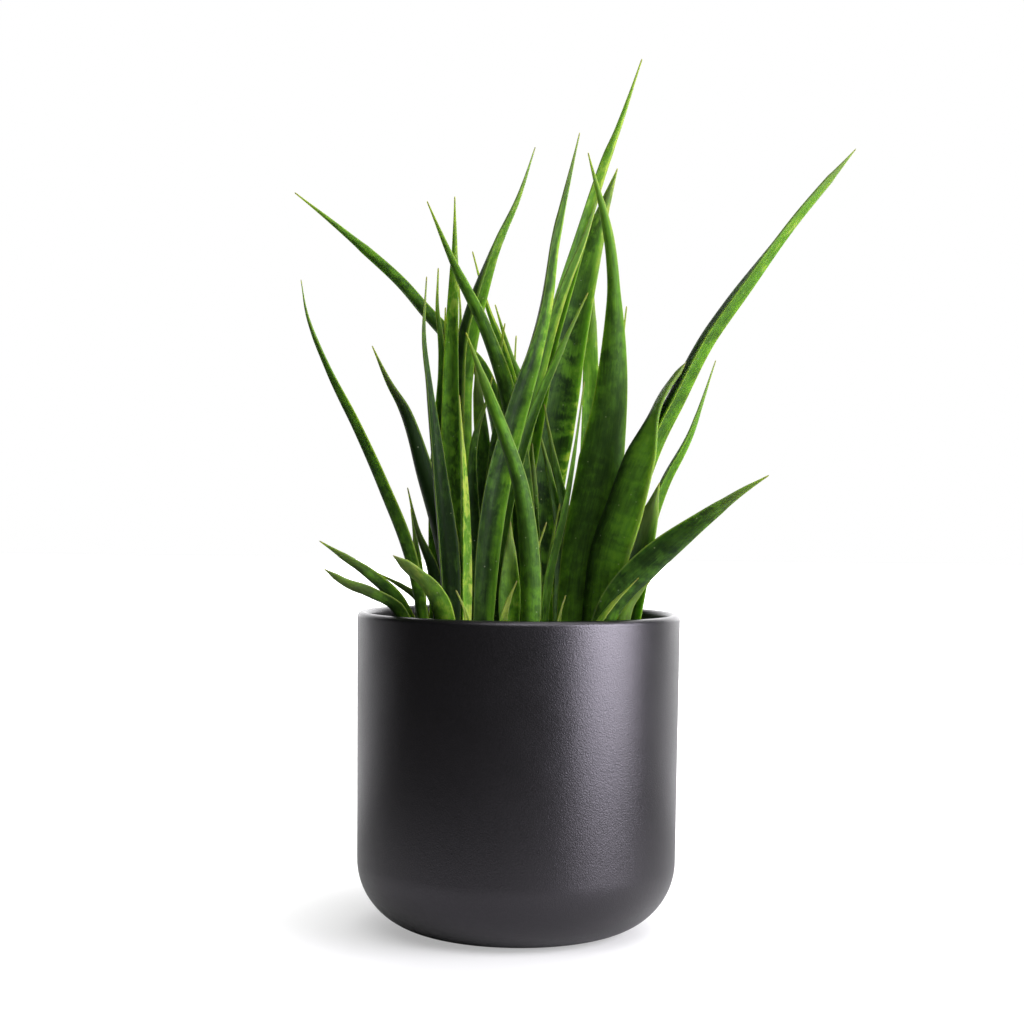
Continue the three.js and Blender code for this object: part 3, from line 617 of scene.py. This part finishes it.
def rounding(radius, bottom, steps):
    """Quarter of an ellipse from the flat foot up to the straight side."""
    outline = []
    for i in range(steps + 1):
        turn = math.pi / 2 * i / steps
        r = FOOT_RADIUS + (radius - FOOT_RADIUS) * math.sin(turn)
        z = ROUNDING_HEIGHT - (ROUNDING_HEIGHT - bottom) * math.cos(turn)
        outline.append((r, z))
    return outline


def make_pot(material):
    lip_radius = WALL / 2
    lip = (RIM_RADIUS - lip_radius, POT_HEIGHT - lip_radius)
    outline = [(0, 0)] + rounding(BELLY_RADIUS, 0, ROUNDING_STEPS)
    for i in range(LIP_STEPS + 1):
        turn = math.pi * i / LIP_STEPS
        outline.append((lip[0] + lip_radius * math.cos(turn), lip[1] + lip_radius * math.sin(turn)))
    outline += rounding(BELLY_RADIUS - WALL, FLOOR, ROUNDING_STEPS)[::-1] + [(0, FLOOR)]
    points, faces = turned(outline, POT_SIDES)
    pot = mesh_object("pot_ceramic", points, faces)
    pot.data.materials.append(material)
    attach(pot, "root")
    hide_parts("pot")


# Soil
def soil_top(x, y):
    """Height of the soil's bumpy top, in millimetres, as in the part."""
    share = math.hypot(x, y) / RIM_RADIUS
    mound = MOUND_HEIGHT * (1 - share * share)
    bumps = math.sin(x * 0.31 + y * 0.12) + math.sin(y * 0.37 - x * 0.09 + 1.3)
    return SOIL_LEVEL + mound + BUMP_HEIGHT / 2 * bumps


def add_crumb(points, faces, centre, size, turn):
    """Adds one angular crumb, a turned lump with eight faces, to the lists."""
    start = len(points)
    c = math.cos(turn)
    s = math.sin(turn)
    for x, y, z in CRUMB_GIRTH + CRUMB_POLES:
        px, py, pz = x * size[0], y * size[1], z * size[2]
        place = (centre[0] + c * px - s * py, centre[1] + s * px + c * py, centre[2] + pz)
        points.append(tuple(v * MM for v in place))
    girth = len(CRUMB_GIRTH)
    for a in range(girth):
        b = (a + 1) % girth
        faces.append((start + a, start + b, start + girth))
        faces.append((start + b, start + a, start + girth + 1))


def scatter_crumbs(points, faces, reach, random):
    """Adds crumbs all over the soil's top, out to the reach."""
    for _ in range(CRUMBS):
        radius = reach * math.sqrt(random.uniform(0, 1))
        turn = random.uniform(0, 2 * math.pi)
        x, y = radius * math.cos(turn), radius * math.sin(turn)
        length = LEAST_CRUMB + CRUMB_SPREAD * random.uniform(0, 1) ** 3
        width = length * random.uniform(*CRUMB_WIDTHS)
        thickness = length * random.uniform(*CRUMB_THICKNESSES)
        centre = (x, y, soil_top(x, y) + thickness * CRUMB_RISE)
        add_crumb(points, faces, centre, (length, width, thickness), random.uniform(0, 2 * math.pi))


def make_soil(material):
    side = BELLY_RADIUS - WALL - SOIL_GAP
    foot = FLOOR + SOIL_GAP
    outline = [(0, foot)] + rounding(side, foot, SOIL_FOOT_STEPS)
    outline += [(side * (1 - i / SOIL_RINGS), SOIL_LEVEL) for i in range(SOIL_RINGS)]
    outline.append((0, SOIL_LEVEL))
    points, faces = turned(outline, SOIL_SIDES)
    random = np.random.default_rng(SOIL_SEED)
    lumps = [
        (random.uniform(*LUMP_RATES), random.uniform(*LUMP_RATES), random.uniform(*WAVE_STARTS))
        for _ in range(LUMP_WAVES)
    ]
    for i, (x, y, z) in enumerate(points):
        if z > (SOIL_LEVEL - 1) * MM:
            px, py = x / MM, y / MM
            waves = (math.sin(px * a + py * b * (-1) ** k + c) for k, (a, b, c) in enumerate(lumps))
            points[i] = (x, y, (soil_top(px, py) + sum(waves) * LUMP_HEIGHT) * MM)
    scatter_crumbs(points, faces, side - CRUMB_MARGIN, random)
    soil = mesh_object("soil_crumbs", points, faces, smooth=False)
    soil.data.materials.append(material)
    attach(soil, "root")
    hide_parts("soil")


# Leaves
class MiddleLine:
    """Smooth line through points: a centripetal Catmull-Rom curve, read by share of its length."""

    PARTS = 200

    def __init__(self, path):
        self.path = [np.array(p, float) for p in path]
        places = [self.place(k / self.PARTS) for k in range(self.PARTS + 1)]
        steps = np.linalg.norm(np.diff(places, axis=0), axis=1)
        self.run = np.concatenate([[0], np.cumsum(steps)])
        self.length = self.run[-1]

    def place(self, t):
        path = self.path
        spans = len(path) - 1
        i = min(int(spans * t), spans - 1)
        w = spans * t - i
        p1, p2 = path[i], path[i + 1]
        p0 = path[i - 1] if i > 0 else 2 * path[0] - path[1]
        p3 = path[i + 2] if i + 2 <= spans else 2 * path[-1] - path[-2]
        d0, d1, d2 = (np.linalg.norm(b - a) ** 0.5 for a, b in ((p0, p1), (p1, p2), (p2, p3)))
        way1 = ((p1 - p0) / d0 - (p2 - p0) / (d0 + d1) + (p2 - p1) / d1) * d1
        way2 = ((p2 - p1) / d1 - (p3 - p1) / (d1 + d2) + (p3 - p2) / d2) * d1
        square = -3 * p1 + 3 * p2 - 2 * way1 - way2
        cube = 2 * p1 - 2 * p2 + way1 + way2
        return p1 + way1 * w + square * w * w + cube * w ** 3

    def at(self, share):
        evenly = np.linspace(0, 1, self.PARTS + 1)
        return self.place(float(np.interp(share * self.length, self.run, evenly)))

    def ahead(self, share):
        way = self.at(min(share + 0.001, 1)) - self.at(max(share - 0.001, 0))
        return way / np.linalg.norm(way)


def width_share(along, widest, shoulder, taper):
    """Width of a leaf at a share of its length, as a share of its greatest width."""
    if along < widest:
        return FOOT_WIDTH_SHARE + (1 - FOOT_WIDTH_SHARE) * smooth_step(along / widest)
    if along < shoulder:
        t = (along - widest) / (shoulder - widest)
        return 1 - (1 - SHOULDER_WIDTH_SHARE) * t ** taper
    t = (along - shoulder) / (1 - shoulder)
    step = (SHOULDER_WIDTH_SHARE - AWL_WIDTH_SHARE) * max(0, 1 - t * SHOULDER_FALL) ** 2
    return AWL_WIDTH_SHARE * (1 - t) ** AWL_FULLNESS + step


def leaf_section(half, depth, thick, edge):
    """Points round the channelled section, with round margins.

    Each is its place sideways and to the hollow side, its share of half the width, and 1 on the
    hollow side, 0 on the back and a half on the margins.
    """
    hollow = []
    back = []
    for i in range(ACROSS + 1):
        a = -1 + 2 * i / ACROSS
        middle = depth * (a * a - 0.5)
        thickness = (thick * (1 - a * a) + edge * a * a) * math.hypot(1, 2 * depth * a / half)
        hollow.append((half * a, middle + thickness / 2, a, 1.0))
        back.append((half * a, middle - thickness / 2, a, 0.0))
    margin = []
    steep = math.hypot(1, 2 * depth / half)
    for i in range(1, MARGIN_POINTS + 1):
        turn = math.pi * i / (MARGIN_POINTS + 1)
        out = 0.5 * edge * math.sin(turn)
        up = 0.5 * edge * steep * math.cos(turn)
        margin.append((half + out, depth / 2 + up, 1.0, 0.5))
    other = [(-u, v, -a, side) for u, v, a, side in reversed(margin)]
    return hollow + margin + back[::-1] + other


def leaf_stations(length):
    """Shares of the length where a leaf has a ring of points, closer together at the tip."""
    count = math.ceil(length / STATION_STEP)
    shares = [i / count for i in range(count)]
    shares += [1 - TIP_ROUNDING * t / length for t in TIP_STATIONS]
    return sorted(s for s in shares if s >= 0)


def leaf_ways(ahead, turn):
    """The way across a leaf, and the way that its hollow side looks."""
    look = np.array([math.sin(turn), -math.cos(turn), 0])
    hollow_way = look - ahead * look.dot(ahead)
    hollow_way /= np.linalg.norm(hollow_way)
    return np.cross(ahead, hollow_way), hollow_way


def leaf_faces(rings, size):
    """Faces between rings of points, closed by a first point at the foot and a last at the tip."""
    faces = []
    end = 1 + rings * size
    for k in range(size):
        after = (k + 1) % size
        faces.append((0, 1 + after, 1 + k))
        faces.append((end, end - size + k, end - size + after))
        for ring in range(rings - 1):
            low = 1 + ring * size
            faces.append((low + k, low + after, low + size + after, low + size + k))
    return faces


def make_leaf(number, row, looks, material):
    width, widest, shoulder, taper, depth, face, twist, path = row
    line = MiddleLine(path)
    length = line.length
    random = np.random.default_rng(LEAF_SEED + number)
    waves = [
        (random.uniform(*WIDTH_WAVE_RATES), random.uniform(*WAVE_STARTS))
        for _ in range(WIDTH_WAVES)
    ]
    stations = leaf_stations(length)
    points = [line.at(0)]
    notes = [(0.0, 0.0, length, 0.5, 0.0)]
    for along in stations:
        from_foot = along * length
        to_tip = length - from_foot
        half = max(width / 2 * width_share(along, widest, shoulder, taper), FINE_TIP)
        channel = 1 - smooth_step((along - CHANNEL_END + CHANNEL_FADE) / CHANNEL_FADE)
        full = min(LEAST_THICKNESS + THICKNESS_TO_WIDTH * width, MOST_THICKNESS)
        thick = max(min(full, half * THICKNESS_TO_HALF), FINE_EDGE)
        edge = max(FINE_EDGE, thick * (AWL_EDGE_SHARE - EDGE_THINNING * channel))
        half *= 1 + WIDTH_WAVE_SHARE * sum(math.sin(from_foot * rate + start) for rate, start in waves)
        close = math.sqrt(max(1 - max(0, 1 - to_tip / TIP_ROUNDING) ** 2, 0.0))
        place = line.at(along)
        turn = math.radians(face + twist * smooth_step((along - TWIST_START) / TWIST_SPAN))
        side_way, hollow_way = leaf_ways(line.ahead(along), turn)
        for u, v, across, hollow in leaf_section(half, half * depth * channel, thick, edge):
            points.append(place + (side_way * u + hollow_way * v) * close)
            notes.append((across, from_foot, to_tip, hollow, u))
    points.append(line.at(1))
    notes.append((0.0, length, 0.0, 0.5, 0.0))
    faces = leaf_faces(len(stations), 2 * (ACROSS + 1 + MARGIN_POINTS))
    leaf = mesh_object(f"leaf_{number:02d}_blade", np.array(points) * MM, faces)
    notes = np.array(notes)
    add_attribute(leaf.data, "across", notes[:, 0])
    add_attribute(leaf.data, "metres", notes[:, 1] * MM)
    add_attribute(leaf.data, "along", notes[:, 1] / length)
    add_attribute(leaf.data, "left", notes[:, 2] * MM)
    add_attribute(leaf.data, "hollow", notes[:, 3])
    add_attribute(leaf.data, "side", notes[:, 4] * MM)
    # Numbers for the material: a tone that is partly painted light and shade, the cross-bands' strength,
    # painted light on the hollow side and along one side, and a seed
    for name, value in zip(("tone_and_painted_light", "banding", "hollow_painted_light", "painted_light_side", "seed"), looks + (float(number),)):
        add_attribute(leaf.data, name, np.full(len(points), value))
    leaf.data.materials.append(material)
    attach(leaf, "root")
    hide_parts(f"leaf_{number:02d}")


# Camera, with its focal length in pixels of the photograph's frame
CAMERA_PLACE = (-0.0034, -0.8, 0.18)
CAMERA_ROLL = -0.0112
FOCAL_PIXELS = 1837.0
IMAGE_WIDTH = 1024
SENSOR_WIDTH = 36.0


def make_camera():
    data = bpy.data.cameras.new("camera")
    data.sensor_width = SENSOR_WIDTH
    data.lens = FOCAL_PIXELS * SENSOR_WIDTH / IMAGE_WIDTH
    camera = bpy.data.objects.new("camera", data)
    camera.location = CAMERA_PLACE
    camera.rotation_euler = (math.pi / 2, CAMERA_ROLL, 0)
    bpy.context.scene.collection.objects.link(camera)
    bpy.context.scene.camera = camera


# Lights
OBJECT_MIDDLE = (0, 0, 0.15)
KEY_COLOUR = (0.95, 0.93, 1.0)


def aim(lamp, place, target):
    way = np.array(target) - np.array(place)
    tilt = math.acos(-way[2] / np.linalg.norm(way))
    lamp.location = place
    lamp.rotation_euler = (tilt, 0, math.atan2(way[1], way[0]) - math.pi / 2)


def around(azimuth, distance, height):
    """A place at a distance from the pot, its azimuth in degrees turned from the front towards +X."""
    turn = math.radians(azimuth)
    return (distance * math.sin(turn), -distance * math.cos(turn), height)


def make_softbox(name, place, side, power, colour):
    data = bpy.data.lights.new(name, "AREA")
    data.shape = "RECTANGLE"
    data.size = side
    data.size_y = side
    data.energy = power
    data.color = colour
    lamp = bpy.data.objects.new(name, data)
    aim(lamp, place, OBJECT_MIDDLE)
    bpy.context.scene.collection.objects.link(lamp)


def make_sun(name, azimuth, elevation, strength, spread):
    data = bpy.data.lights.new(name, "SUN")
    data.energy = strength
    data.angle = math.radians(spread)
    lamp = bpy.data.objects.new(name, data)
    rise = math.radians(elevation)
    aim(lamp, around(azimuth, math.cos(rise), math.sin(rise)), (0, 0, 0))
    bpy.context.scene.collection.objects.link(lamp)


# The room round the object: its light, and the bright backdrop behind, brighter towards +X
ROOM_LIGHT = 0.02
BACKDROP_LIGHT = 2.9
BACKDROP_SLANT = 1.5
BACKDROP_EDGE = (0.60, 0.82)


def make_world():
    """The camera sees plain white, and all else sees the room and its backdrop."""
    world = bpy.data.worlds.new("studio")
    bpy.context.scene.world = world
    tree = Tree(world)
    generated = tree.add("ShaderNodeTexCoord").outputs["Generated"]
    way = tree.add("ShaderNodeSeparateXYZ", {0: generated})
    backdrop = tree.ramp(way.outputs["Y"], *BACKDROP_EDGE)
    bright = tree.plus_share(BACKDROP_LIGHT, way.outputs["X"], BACKDROP_SLANT)
    lit = tree.plus_share(ROOM_LIGHT, backdrop, bright)
    seen = tree.add("ShaderNodeLightPath").outputs["Is Camera Ray"]
    unseen = tree.math("SUBTRACT", 1.0, seen)
    strength = tree.plus_share(seen, lit, unseen)
    light = tree.add("ShaderNodeBackground", {"Color": (1, 1, 1, 1), "Strength": strength})
    output = tree.add("ShaderNodeOutputWorld")
    tree.links.new(light.outputs[0], output.inputs["Surface"])


def make_floor():
    corners = [(-1, -1), (1, -1), (1, 1), (-1, 1)]
    points = [(x * FLOOR_HALF, y * FLOOR_HALF, 0) for x, y in corners]
    floor = mesh_object("floor", points, [(0, 1, 2, 3)])
    floor.data.materials.append(floor_material())


make_camera()
make_world()
make_floor()
make_softbox("key", around(64, 1.3, 0.44), side=1.0, power=35, colour=KEY_COLOUR)
make_sun("top", azimuth=120, elevation=65, strength=1.2, spread=50)
make_sun("front", azimuth=8, elevation=50, strength=1.5, spread=45)
make_pot(ceramic_material())
make_soil(soil_material())
leaf_finish = leaf_material()
for number, (row, looks) in enumerate(zip(LEAF_ROWS, LEAF_LOOKS), 1):
    make_leaf(number, row, looks, leaf_finish)

bpy.context.scene.view_settings.view_transform = "Standard"
